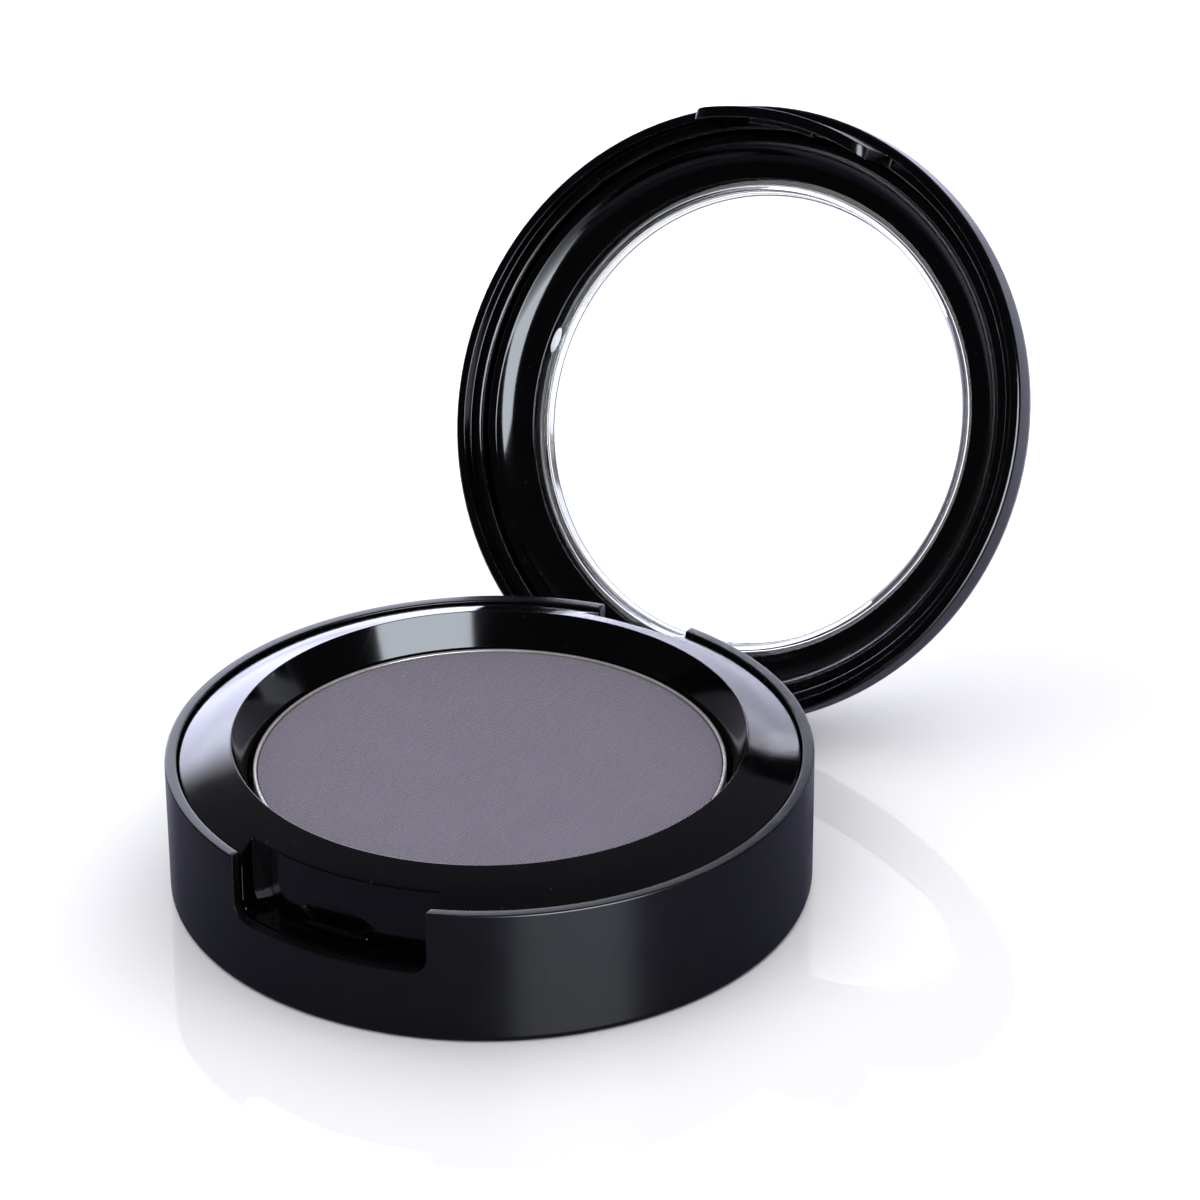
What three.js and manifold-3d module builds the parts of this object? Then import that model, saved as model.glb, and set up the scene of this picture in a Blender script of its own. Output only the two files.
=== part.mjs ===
// A round pressed-powder compact: a base cup with an inner tray and a metal powder pan,
// and a ring-shaped lid with a clear window, which turns on a steel pin at the back.
// Millimetres, +Z up. The origin is the centre of the underside, the finger notch faces -Y
// and the hinge lies along X on the +Y side. The lid stands fully open.
import * as THREE from "three";
import { mergeVertices } from "three/addons/utils/BufferGeometryUtils.js";
import Module from "manifold-3d";

const wasm = await Module();
wasm.setup();

// Whole object
const bodyRadius = 30;
const baseHeight = 13.3;
const roundSides = 60; // facets of every round piece, so that nested rings stay parallel
const openAngle = 120; // degrees between the closed and the fully open lid

// Base cup
const shellWall = 1.1;
const shellFloor = 1.6;
const shellFootRound = 0.7;
const rimRound = 0.2;
const labelRadius = 18.7;
const labelThickness = 0.2;
const labelRecessRadius = 19;
const labelRecessDepth = 0.25;

// Finger notch at the front, which the lid's tab fills when the lid is closed
const frontNotchHalf = 10.1;
const frontNotchFloor = 7;
const frontNotchRound = 1.5;
const frontPocketHalf = 9.9; // the notch carries on into the tray, a little narrower
const frontWallRadius = 27; // back wall of the notch, part of the tray

// Slot at the back for the lid's hinge lug
const rearNotchHalf = 4.7;
const rearNotchFloor = 2.2;
const rearNotchRound = 0.6;
const rearSlotDepthY = 25.6;

// Inner tray
const trayRadius = 28.75;
const trayBandFloor = 5.5;
const traySkirtInner = 25.8;
const traySkirtFloor = 1.7;
const deckEdgeHeight = 13.08;
const deckCrownRadius = 24;
const deckCrownHeight = 14.9;
const wellRadius = 22.4;
const wellLedgeHeight = 11.7;
const wellFloor = 7.5;
const wellFloorThickness = 1;

// Catch in the back wall of the finger notch
const catchHalfWidth = 3.8;
const catchHalfHeight = 1.2;
const catchHeight = 9.15;
const catchDepthY = -26.3;
const catchLip = { halfWidth: 3.3, depth: 0.4, halfHeight: 0.35, height: 8 };

// Powder pan
const panRadius = 21.9;
const panWall = 0.35;
const panFloor = 7.85;
const panTop = 11.85;
const panCornerRound = 0.4;
const powderTop = 11.68;
const powderGap = 0.05;
const adhesiveRadius = 12;
const adhesiveClearance = 0.03;

// Hinge
const hingeY = 27.2;
const hingeZ = 7.3;
const pinRadius = 0.5;
const pinHalfLength = 5.7;
const pinBoreRadius = 0.65;
const pinBoreHalfLength = 5.9;
const lugHalfWidth = 4.4;
const lugRadius = 1.3;
const lugBoreRadius = 0.8;
const lugOuterRadius = 29.85;
const lugTop = 15.05;

// Lid, in its closed place
const lidRim = 13.5;
const lidWallTop = 15.9;
const lidTop = 19.6;
const lidBandInner = 27.85;
const lidBandHeight = 14.85;
const lidStepRadius = 29; // the underside of the rim steps up here, inside the outer land
const lidSkin = 0.9;
const windowOpening = 22.7;

// Tab on the lid's front edge, with the nib that snaps over the catch
const tabHalfWidth = 9.3;
const tabTip = 8;
const tabRound = 1.3;
const tabInner = 28.05;
const tabOuter = 29.1;
const nibHalfWidth = 3.4;
const nibInner = 27.6;
const nibLow = 8.6;
const nibHigh = 9.6;

// Liner ring inside the lid
const linerOuter = 27.6;
const linerRim = 15.9;
const linerCeiling = 17.5;
const linerCove = 3.2; // the hollow corner between the liner's rim and its ceiling
const linerCoveCentre = 24;
const linerInner = 23.4;
const linerSeat = 17.95;
const linerSeatRadius = 24.7;

// Clear window
const windowFlange = 24.4;
const windowFlangeLow = 18.05;
const windowFlangeTop = 18.4;
const windowRaised = 22.05;
const windowTop = 19.8;
const windowUnderside = 18.3;
const windowRidge = { outer: 22.7, inner: 22.3, low: 17.8 };

const finishes = {
  satinBlack: { color: 0x17171b, roughness: 0.5, metalness: 0 },
  glossBlack: { color: 0x08080a, roughness: 0.12, metalness: 0 },
  tinplate: { color: 0xc9c6c2, roughness: 0.35, metalness: 1 },
  greyPowder: { color: 0x77717c, roughness: 0.95, metalness: 0 },
  paleAdhesive: { color: 0xd8d2c0, roughness: 0.6, metalness: 0 },
  whiteLabel: { color: 0xe9e8e4, roughness: 0.7, metalness: 0 },
  brightSteel: { color: 0xb9bbc0, roughness: 0.28, metalness: 1 },
  clearPlastic: { color: 0xf4f7fa, roughness: 0.05, metalness: 0, transparent: true, opacity: 0.25 },
};

// Turns a closed three.js geometry into a solid, without the empty triangles at a pole.
function solid(geometry) {
  const bare = geometry.clone();
  bare.deleteAttribute("normal");
  bare.deleteAttribute("uv");
  const merged = mergeVertices(bare, 1e-4);
  const corners = merged.index.array;
  const kept = [];
  for (let i = 0; i < corners.length; i += 3) {
    const [a, b, c] = corners.slice(i, i + 3);
    if (a !== b && b !== c && c !== a) kept.push(a, b, c);
  }
  return new wasm.Manifold(new wasm.Mesh({
    numProp: 3,
    vertProperties: new Float32Array(merged.attributes.position.array),
    triVerts: new Uint32Array(kept),
  }));
}

// A named mesh made from a solid.
function piece(name, shape, finish) {
  const { vertProperties, triVerts } = shape.getMesh();
  const geometry = new THREE.BufferGeometry();
  geometry.setAttribute("position", new THREE.BufferAttribute(vertProperties, 3));
  geometry.setIndex(new THREE.BufferAttribute(triVerts, 1));
  geometry.computeVertexNormals();
  const mesh = new THREE.Mesh(geometry, new THREE.MeshStandardMaterial(finishes[finish]));
  mesh.name = name;
  return mesh;
}

// A solid of revolution about Z. Its outline is [radius, height] points that run outwards
// along the underside, up the outside and back in over the top.
function turned(outline) {
  const closed = outline[0][0] === 0 ? outline : [...outline, outline[0]];
  const points = closed.map(([radius, height]) => new THREE.Vector2(radius, height));
  return solid(new THREE.LatheGeometry(points, roundSides).rotateX(Math.PI / 2));
}

// Points of an arc about (radius, height), from one angle to another in degrees.
function arc(radius, height, size, from, to, steps) {
  const points = [];
  for (let i = 0; i <= steps; i += 1) {
    const angle = THREE.MathUtils.degToRad(from + ((to - from) * i) / steps);
    points.push([radius + size * Math.cos(angle), height + size * Math.sin(angle)]);
  }
  return points;
}

// A block between two corners.
function block([x0, y0, z0], [x1, y1, z1]) {
  const box = new THREE.BoxGeometry(x1 - x0, y1 - y0, z1 - z0);
  return solid(box.translate((x0 + x1) / 2, (y0 + y1) / 2, (z0 + z1) / 2));
}

// A round bar along X on the hinge axis.
function hingeBar(radius, halfLength, sides) {
  const bar = new THREE.CylinderGeometry(radius, radius, 2 * halfLength, sides);
  return solid(bar.rotateZ(Math.PI / 2).translate(0, hingeY, hingeZ));
}

// An upright plate across Y with round lower corners, between two Y values.
function tongue(half, low, high, round, y0, y1) {
  const outline = new THREE.Shape();
  outline.moveTo(-half, high);
  outline.lineTo(-half, low + round);
  outline.absarc(-half + round, low + round, round, Math.PI, 1.5 * Math.PI, false);
  outline.absarc(half - round, low + round, round, 1.5 * Math.PI, 2 * Math.PI, false);
  outline.lineTo(half, high);
  outline.closePath();
  const settings = { depth: y1 - y0, bevelEnabled: false, curveSegments: 4 };
  const plate = new THREE.ExtrudeGeometry(outline, settings);
  return solid(plate.rotateX(Math.PI / 2).translate(0, y1, 0));
}

// A plain ring with square edges.
function ring(inner, outer, low, high) {
  return turned([[inner, low], [outer, low], [outer, high], [inner, high]]);
}

const above = baseHeight + 3; // higher than anything on the base, for cuts that run out of it
const outside = bodyRadius + 2;

function frontCut(half) {
  return tongue(half, frontNotchFloor, above, frontNotchRound, -outside, -frontWallRadius / 2);
}
const frontNotch = frontCut(frontNotchHalf);
const frontPocket = frontCut(frontPocketHalf);
const rearNotch = tongue(
  rearNotchHalf, rearNotchFloor, above, rearNotchRound, rearSlotDepthY, outside,
);

function makeBaseShell() {
  const inner = bodyRadius - shellWall;
  const footRadius = bodyRadius - 0.1; // the wall leans in by this much at the bottom
  const cup = turned([
    [0, labelRecessDepth],
    [labelRecessRadius, labelRecessDepth],
    [labelRecessRadius, 0],
    ...arc(footRadius - shellFootRound, shellFootRound, shellFootRound, -90, 0, 3),
    [bodyRadius, baseHeight - rimRound],
    [bodyRadius - rimRound, baseHeight],
    [inner + rimRound, baseHeight],
    [inner, baseHeight - rimRound],
    [inner, shellFloor],
    [0, shellFloor],
  ]);
  return piece("base_shell", cup.subtract(frontNotch).subtract(rearNotch), "satinBlack");
}

function makeBaseTray() {
  const wellOuter = wellRadius + 1;
  const body = turned([
    [0, wellFloor - wellFloorThickness],
    [wellOuter, wellFloor - wellFloorThickness],
    [wellOuter, wellLedgeHeight - 0.5],
    [deckCrownRadius + 0.5, deckCrownHeight - 1.6],
    [traySkirtInner, deckEdgeHeight - 0.2],
    [traySkirtInner, traySkirtFloor],
    [frontWallRadius, traySkirtFloor],
    [frontWallRadius, trayBandFloor],
    [trayRadius, trayBandFloor],
    [trayRadius, deckEdgeHeight - 0.2],
    [trayRadius - 0.2, deckEdgeHeight],
    [26.2, 14.12],
    [deckCrownRadius + 0.15, deckCrownHeight - 0.08],
    [deckCrownRadius - 0.1, deckCrownHeight],
    [deckCrownRadius - 0.35, deckCrownHeight - 0.2],
    [wellRadius + 0.05, wellLedgeHeight],
    [wellRadius, wellFloor],
    [0, wellFloor],
  ]);
  const pocket = ring(frontWallRadius, outside, frontNotchFloor - 1, above).intersect(frontPocket);
  const slot = block([-rearNotchHalf, rearSlotDepthY, 0], [rearNotchHalf, outside, above]);
  const lens = new THREE.Shape();
  lens.absellipse(0, catchHeight, catchHalfWidth, catchHalfHeight, 0, 2 * Math.PI, false);
  const recess = solid(
    new THREE.ExtrudeGeometry(lens, { depth: 3, bevelEnabled: false, curveSegments: 12 })
      .rotateX(Math.PI / 2)
      .translate(0, catchDepthY, 0),
  );
  const lip = solid(
    new THREE.SphereGeometry(1, 16, 8)
      .scale(catchLip.halfWidth, catchLip.depth, catchLip.halfHeight)
      .translate(0, -frontWallRadius, catchLip.height),
  );
  const tray = body
    .subtract(pocket)
    .subtract(slot)
    .subtract(recess)
    .add(lip)
    .subtract(hingeBar(pinBoreRadius, pinBoreHalfLength, 16));
  return piece("base_tray", tray, "glossBlack");
}

function makeBaseLabel() {
  const disc = turned([[0, 0], [labelRadius, 0], [labelRadius, labelThickness], [0, labelThickness]]);
  return piece("base_label", disc, "whiteLabel");
}

function makePowderPan() {
  const cup = turned([
    [0, panFloor],
    ...arc(panRadius - panCornerRound, panFloor + panCornerRound, panCornerRound, -90, 0, 2),
    [panRadius, panTop],
    [panRadius - panWall, panTop],
    [panRadius - panWall, panFloor + panWall],
    [0, panFloor + panWall],
  ]);
  return piece("powder_pan", cup, "tinplate");
}

function makePressedPowder() {
  const low = panFloor + panWall + powderGap;
  const radius = panRadius - panWall - powderGap;
  const cake = turned([
    [0, low],
    [radius, low],
    [radius, powderTop - 0.1],
    [radius - 0.15, powderTop],
    [0, powderTop],
  ]);
  return piece("pressed_powder", cake, "greyPowder");
}

function makePanAdhesive() {
  const low = wellFloor + adhesiveClearance;
  const high = panFloor - adhesiveClearance;
  const pad = turned([[0, low], [adhesiveRadius, low], [adhesiveRadius, high], [0, high]]);
  return piece("pan_adhesive", pad, "paleAdhesive");
}

function makeHingePin() {
  return piece("hinge_pin", hingeBar(pinRadius, pinHalfLength, 16), "brightSteel");
}

// The lug hangs from the lid's rim to the pin. Its lower outer corner is cut back so that it
// clears the slot's inner wall when the lid is fully open.
function hingeLug() {
  const outline = new THREE.Shape();
  outline.moveTo(hingeY - lugRadius, lugTop);
  outline.lineTo(hingeY - lugRadius, hingeZ);
  outline.absarc(hingeY, hingeZ, lugRadius, Math.PI, (5 / 3) * Math.PI, false);
  outline.lineTo(bodyRadius, hingeZ + 0.1);
  outline.lineTo(bodyRadius, lugTop);
  outline.closePath();
  const settings = { depth: 2 * lugHalfWidth, bevelEnabled: false, curveSegments: 12 };
  const side = new THREE.ExtrudeGeometry(outline, settings);
  // The outline's own axes become Y and Z, and its depth becomes X.
  side.applyMatrix4(new THREE.Matrix4().set(0, 0, 1, -lugHalfWidth, 1, 0, 0, 0, 0, 1, 0, 0, 0, 0, 0, 1));
  const drum = turned([[0, 0], [lugOuterRadius, 0], [lugOuterRadius, above], [0, above]]);
  return solid(side).intersect(drum).subtract(hingeBar(lugBoreRadius, outside, 16));
}

function fingerTab() {
  const root = lidBandHeight + 0.3; // inside the rim, so that the tab grows out of it
  const plate = tongue(tabHalfWidth, tabTip, root, tabRound, -outside, -frontWallRadius / 2);
  const wall = ring(tabInner, tabOuter, tabTip - 1, above).intersect(plate);
  const nibBlock = block([-nibHalfWidth, -outside, nibLow], [nibHalfWidth, 0, nibHigh]);
  const nib = ring(nibInner, tabInner + 0.3, tabTip, above).intersect(nibBlock);
  return wall.add(nib);
}

function makeLidShell() {
  const shoulder = [[29.8, 16.8], [29.2, 17.8], [28.3, 18.5], [27, 19.05], [25, 19.4]];
  const crown = turned([
    [lidBandInner, lidBandHeight],
    [lidStepRadius, lidBandHeight],
    [lidStepRadius, lidRim],
    [bodyRadius - rimRound, lidRim],
    [bodyRadius, lidRim + rimRound],
    [bodyRadius, lidWallTop],
    ...shoulder,
    [windowOpening + 0.3, lidTop],
    [windowOpening, lidTop - 0.15],
    [windowOpening, lidTop - lidSkin],
    [24.9, 18.62],
    [26.3, 18.35],
    [27.2, 17.95],
    [lidBandInner, 17.35],
  ]);
  return piece("lid_shell", crown.add(hingeLug()).add(fingerTab()), "satinBlack");
}

function makeLidLiner() {
  const band = turned([
    [linerInner, linerCeiling],
    ...arc(linerCoveCentre, linerCeiling - linerCove, linerCove, 90, 30, 5),
    [linerOuter, linerRim],
    [linerOuter, 17],
    [27, 17.6],
    [26.1, 17.98],
    [linerSeatRadius, 18.25],
    [linerSeatRadius, linerSeat],
    [linerInner, linerSeat],
  ]);
  return piece("lid_liner", band, "glossBlack");
}

function makeLidWindow() {
  const pane = turned([
    [0, windowUnderside],
    [windowRidge.inner - 0.1, windowUnderside],
    [windowRidge.inner, windowRidge.low],
    [windowRidge.outer, windowRidge.low],
    [windowRidge.outer + 0.1, windowFlangeLow],
    [windowFlange, windowFlangeLow],
    [windowFlange, windowFlangeTop],
    [windowRaised, windowFlangeTop],
    [windowRaised - 0.1, windowTop - 0.3],
    [windowRaised - 0.45, windowTop],
    [0, windowTop],
  ]);
  return piece("lid_window", pane, "clearPlastic");
}

// The lid's pieces are modelled closed, then turned back about the hinge pin.
const lid = new THREE.Group();
lid.position.set(0, hingeY, hingeZ);
lid.rotation.x = THREE.MathUtils.degToRad(-openAngle);
for (const mesh of [makeLidShell(), makeLidLiner(), makeLidWindow()]) {
  mesh.position.set(0, -hingeY, -hingeZ);
  lid.add(mesh);
}

const compact = new THREE.Group();
compact.add(makeBaseShell(), makeBaseTray(), makeBaseLabel(), makePowderPan());
compact.add(makePressedPowder(), makePanAdhesive(), makeHingePin(), lid);

export default compact;
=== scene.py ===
import math
import bpy
from mathutils import Matrix, Vector


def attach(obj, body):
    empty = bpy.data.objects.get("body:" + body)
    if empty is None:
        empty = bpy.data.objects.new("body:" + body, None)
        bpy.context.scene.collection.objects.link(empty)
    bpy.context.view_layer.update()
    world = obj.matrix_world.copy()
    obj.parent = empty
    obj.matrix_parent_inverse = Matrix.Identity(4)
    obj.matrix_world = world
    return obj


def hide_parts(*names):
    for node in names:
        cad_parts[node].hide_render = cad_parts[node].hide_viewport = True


# A round pressed powder compact standing open: satin black base and lid, gloss black tray
# and liner, a clear window in the lid, and grey powder in a tinplate pan.

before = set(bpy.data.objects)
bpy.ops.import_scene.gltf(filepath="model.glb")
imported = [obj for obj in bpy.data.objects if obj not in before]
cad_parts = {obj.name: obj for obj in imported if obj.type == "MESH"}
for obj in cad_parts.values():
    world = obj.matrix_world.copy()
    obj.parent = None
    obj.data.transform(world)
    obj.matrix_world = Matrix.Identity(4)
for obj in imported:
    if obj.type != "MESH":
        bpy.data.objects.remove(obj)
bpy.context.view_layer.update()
mm = 0.001
hingeLine = (0.0, 27.2 * mm, 7.3 * mm)     # the pin runs along X through here
openTurn = math.radians(120)               # the lid is modelled closed, then laid back by this
weldGap = 0.002 * mm
sliver = 0.03 * mm                         # the cuts leave edges up to this long
pastRim = 33.0                             # cutting tools start out here, clear of the rim
pastWall = 14.0                            # and end in here, well inside the wall
aboveRim = 3.0                             # and stand this far over the base's rim


def deselectAll():
    for thing in bpy.context.selected_objects:
        thing.select_set(False)


def pick(obj):
    deselectAll()
    obj.select_set(True)
    bpy.context.view_layer.objects.active = obj


def arcRun(centre, size, start, end, steps):
    # points of an arc in an outline, from one angle to another in degrees
    turns = [math.radians(start + (end - start) * i / steps) for i in range(steps + 1)]
    return [(centre[0] + size * math.cos(t), centre[1] + size * math.sin(t)) for t in turns]


def flow(before, start, end, after, t):
    # a smooth step from start to end, in line with the value before and the one after
    first = end - before
    second = 2 * before - 5 * start + 4 * end - after
    third = 3 * start - before - 3 * end + after
    return 0.5 * (2 * start + first * t + second * t * t + third * t ** 3)


def smoothRun(points, steps):
    # a flowing line through the points of an outline
    run = []
    ends = [points[0], *points, points[-1]]
    for a, b, c, d in zip(ends, ends[1:], ends[2:], ends[3:]):
        for i in range(steps):
            run.append(tuple(flow(*four, i / steps) for four in zip(a, b, c, d)))
    return [*run, points[-1]]


def drawLine(name, points):
    # one loose vertex, extruded from point to point; the points are in millimetres
    deselectAll()
    bpy.ops.mesh.primitive_plane_add(size=mm, location=(0, 0, 0))
    obj = bpy.context.object
    obj.name = obj.data.name = name
    bpy.ops.object.mode_set(mode="EDIT")
    bpy.ops.mesh.select_mode(type="VERT")
    bpy.ops.mesh.select_all(action="SELECT")
    bpy.ops.mesh.merge(type="CENTER")
    bpy.ops.transform.translate(value=Vector(points[0]) * mm)
    for here, there in zip(points, points[1:]):
        step = (Vector(there) - Vector(here)) * mm
        bpy.ops.mesh.extrude_vertices_move(TRANSFORM_OT_translate={"value": step})
    bpy.ops.mesh.select_all(action="SELECT")
    return obj


def turnOnLathe(name, outline, sides=128, startStep=0.0):
    # spins an outline of (radius, height) about Z; one that starts off the axis is closed first
    closed = outline if outline[0][0] == 0 else [*outline, outline[0]]
    obj = drawLine(name, [(r, 0, z) for r, z in closed])
    bpy.ops.transform.rotate(
        value=startStep * 2 * math.pi / sides, orient_axis="Z", center_override=(0, 0, 0)
    )
    bpy.ops.mesh.spin(steps=sides, angle=2 * math.pi, center=(0, 0, 0), axis=(0, 0, 1))
    bpy.ops.mesh.select_all(action="SELECT")
    bpy.ops.mesh.remove_doubles(threshold=weldGap)
    bpy.ops.mesh.normals_make_consistent(inside=False)
    bpy.ops.object.mode_set(mode="OBJECT")
    return obj


def cutPlate(name, outline, start, end):
    # fills an outline of (y, z) and extrudes it along X
    obj = drawLine(name, [(start, y, z) for y, z in [*outline, outline[0]]])
    bpy.ops.mesh.remove_doubles(threshold=weldGap)
    bpy.ops.mesh.edge_face_add()
    bpy.ops.mesh.extrude_region_move(TRANSFORM_OT_translate={"value": ((end - start) * mm, 0, 0)})
    bpy.ops.mesh.select_all(action="SELECT")
    bpy.ops.mesh.normals_make_consistent(inside=False)
    bpy.ops.object.mode_set(mode="OBJECT")
    return obj


def makeBlock(name, low, high):
    # a block between two corners, in millimetres
    deselectAll()
    middle = (Vector(low) + Vector(high)) / 2 * mm
    bpy.ops.mesh.primitive_cube_add(size=1, location=middle)
    obj = bpy.context.object
    obj.name = obj.data.name = name
    obj.scale = (Vector(high) - Vector(low)) * mm
    bpy.ops.object.transform_apply(location=True, rotation=True, scale=True)
    return obj


def makeBar(name, radius, length, centre, sides=64, along="X"):
    deselectAll()
    turn = (0, math.pi / 2, 0) if along == "X" else (math.pi / 2, 0, 0)
    bpy.ops.mesh.primitive_cylinder_add(
        vertices=sides, radius=radius * mm, depth=length * mm, location=Vector(centre) * mm, rotation=turn
    )
    obj = bpy.context.object
    obj.name = obj.data.name = name
    bpy.ops.object.transform_apply(location=True, rotation=True, scale=True)
    return obj


def makeTongue(name, half, low, high, corner, start, end):
    # an upright slab across Y with its two lower edges rounded
    obj = makeBlock(name, (-half, start, low), (half, end, high))
    selectEdges(obj, lambda a, b: max(a.z, b.z) < low + 0.01 and abs(a.x - b.x) < 0.01)
    bpy.ops.mesh.bevel(offset=corner * mm, segments=10, affect="EDGES")
    bpy.ops.object.mode_set(mode="OBJECT")
    return obj


def selectEdges(obj, wanted):
    # edit mode, with just the edges whose two ends, in millimetres, pass the test
    pick(obj)
    bpy.ops.object.mode_set(mode="EDIT")
    bpy.ops.mesh.select_mode(type="EDGE")
    bpy.ops.mesh.select_all(action="DESELECT")
    bpy.ops.object.mode_set(mode="OBJECT")
    points = [v.co / mm for v in obj.data.vertices]
    for edge in obj.data.edges:
        a, b = (points[i] for i in edge.vertices)
        edge.select = wanted(a, b)
    bpy.ops.object.mode_set(mode="EDIT")


def combine(obj, tool, operation="DIFFERENCE"):
    pick(obj)
    bpy.ops.object.modifier_add(type="BOOLEAN")
    join = obj.modifiers[-1]
    join.operation = operation
    join.solver = "EXACT"
    join.object = tool
    bpy.ops.object.modifier_apply(modifier=join.name)
    bpy.data.objects.remove(tool)
    return obj


def radiusOf(point):
    return math.hypot(point.x, point.y)


def onRing(radius, height, slack=0.03):
    return lambda a, b: all(
        abs(radiusOf(p) - radius) < slack and abs(p.z - height) < slack for p in (a, b)
    )


def softenEdges(obj, sharpAngle, width, special=(), segments=3):
    # every sharp edge gets a small round; special places get their own width, in millimetres
    pick(obj)
    widest = max([width, *[w for _, w in special]])
    bpy.ops.object.mode_set(mode="EDIT")
    bpy.ops.mesh.select_mode(type="EDGE")
    bpy.ops.mesh.select_all(action="SELECT")
    bpy.ops.mesh.remove_doubles(threshold=sliver)
    bpy.ops.mesh.select_all(action="DESELECT")
    bpy.ops.mesh.edges_select_sharp(sharpness=math.radians(sharpAngle))
    bpy.ops.object.mode_set(mode="OBJECT")
    weights = obj.data.attributes.new("bevel_weight_edge", "FLOAT", "EDGE")
    points = [v.co / mm for v in obj.data.vertices]
    for edge in obj.data.edges:
        if edge.select:
            a, b = (points[i] for i in edge.vertices)
            own = next((w for wanted, w in special if wanted(a, b)), width)
            weights.data[edge.index].value = own / widest
    bpy.ops.object.modifier_add(type="BEVEL")
    bevel = obj.modifiers[-1]
    bevel.limit_method = "WEIGHT"
    bevel.width = widest * mm
    bevel.segments = segments
    bevel.use_clamp_overlap = False
    bpy.ops.object.modifier_apply(modifier=bevel.name)
    smoothOff(obj)


def smoothOff(obj, angle=32):
    pick(obj)
    bpy.ops.object.shade_smooth_by_angle(angle=math.radians(angle))
    bpy.ops.object.modifier_add(type="WEIGHTED_NORMAL")
    obj.modifiers[-1].keep_sharp = True
    bpy.ops.object.modifier_apply(modifier=obj.modifiers[-1].name)


def layBack(obj):
    # turns a lid piece from its closed place to its open one, about the hinge
    pick(obj)
    bpy.ops.object.mode_set(mode="EDIT")
    bpy.ops.mesh.select_all(action="SELECT")
    bpy.ops.transform.rotate(value=openTurn, orient_axis="X", center_override=hingeLine)
    bpy.ops.object.mode_set(mode="OBJECT")


def fit(obj, body, node, slotName, *materials):
    # the finished piece rides on its body, stands for its CAD node and gets its finish
    for mat in materials:
        obj.data.materials.append(mat)
    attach(obj, body)
    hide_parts(node)


def addMath(nt, operation, a, b=0.0, clamp=False):
    node = nt.nodes.new("ShaderNodeMath")
    node.operation = operation
    node.use_clamp = clamp
    for socket, value in zip(node.inputs, (a, b)):
        if isinstance(value, (int, float)):
            socket.default_value = value
        else:
            nt.links.new(value, socket)
    return node.outputs["Value"]


def newMaterial(name):
    mat = bpy.data.materials.new(name)
    mat.use_nodes = True
    return mat, mat.node_tree, mat.node_tree.nodes["Principled BSDF"]


def newGroup(name, inputs, outputs):
    group = bpy.data.node_groups.new(name, "ShaderNodeTree")
    for label, kind, value in inputs:
        socket = group.interface.new_socket(name=label, in_out="INPUT", socket_type=kind)
        if value is not None:
            socket.default_value = value
    for label, kind in outputs:
        group.interface.new_socket(name=label, in_out="OUTPUT", socket_type=kind)
    return group, group.nodes.new("NodeGroupInput"), group.nodes.new("NodeGroupOutput")


def addNoise(nt, where, scale, detail=2.0, roughness=0.5):
    node = nt.nodes.new("ShaderNodeTexNoise")
    nt.links.new(where, node.inputs["Vector"])
    for label, value in (("Scale", scale), ("Detail", detail), ("Roughness", roughness)):
        if isinstance(value, (int, float)):
            node.inputs[label].default_value = value
        else:
            nt.links.new(value, node.inputs[label])
    return node.outputs["Fac"]


def addRange(nt, value, low, high, newLow=0.0, newHigh=1.0):
    node = nt.nodes.new("ShaderNodeMapRange")
    nt.links.new(value, node.inputs["Value"])
    for label, number in (("From Min", low), ("From Max", high), ("To Min", newLow), ("To Max", newHigh)):
        if isinstance(number, (int, float)):
            node.inputs[label].default_value = number
        else:
            nt.links.new(number, node.inputs[label])
    return node.outputs["Result"]


def makeEdgeWearGroup():
    # a mask along the outer edges, broken up by noise
    group, inn, out = newGroup(
        "edgeWear",
        [("Position", "NodeSocketVector", None), ("Amount", "NodeSocketFloat", 0.5),
         ("Breakup", "NodeSocketFloat", 900.0)],
        [("Mask", "NodeSocketFloat")],
    )
    shape = group.nodes.new("ShaderNodeNewGeometry")
    rubbed = addRange(group, shape.outputs["Pointiness"], 0.53, 0.62)
    patches = addNoise(group, inn.outputs["Position"], inn.outputs["Breakup"], 3.0)
    worn = addMath(group, "MULTIPLY", rubbed, addRange(group, patches, 0.35, 0.7))
    group.links.new(addMath(group, "MULTIPLY", worn, inn.outputs["Amount"], True), out.inputs["Mask"])
    return group


def makeGrainGroup():
    # moulded grain: a fine noise over a broad slow one
    group, inn, out = newGroup(
        "mouldGrain",
        [("Position", "NodeSocketVector", None), ("Fine", "NodeSocketFloat", 9000.0),
         ("Broad", "NodeSocketFloat", 250.0)],
        [("Height", "NodeSocketFloat"), ("Drift", "NodeSocketFloat")],
    )
    fine = addNoise(group, inn.outputs["Position"], inn.outputs["Fine"], 2.0)
    broad = addNoise(group, inn.outputs["Position"], inn.outputs["Broad"], 3.0)
    mostly = addMath(group, "MULTIPLY", fine, 0.8)
    height = addMath(group, "ADD", mostly, addMath(group, "MULTIPLY", broad, 0.2))
    group.links.new(height, out.inputs["Height"])
    group.links.new(broad, out.inputs["Drift"])
    return group


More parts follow.
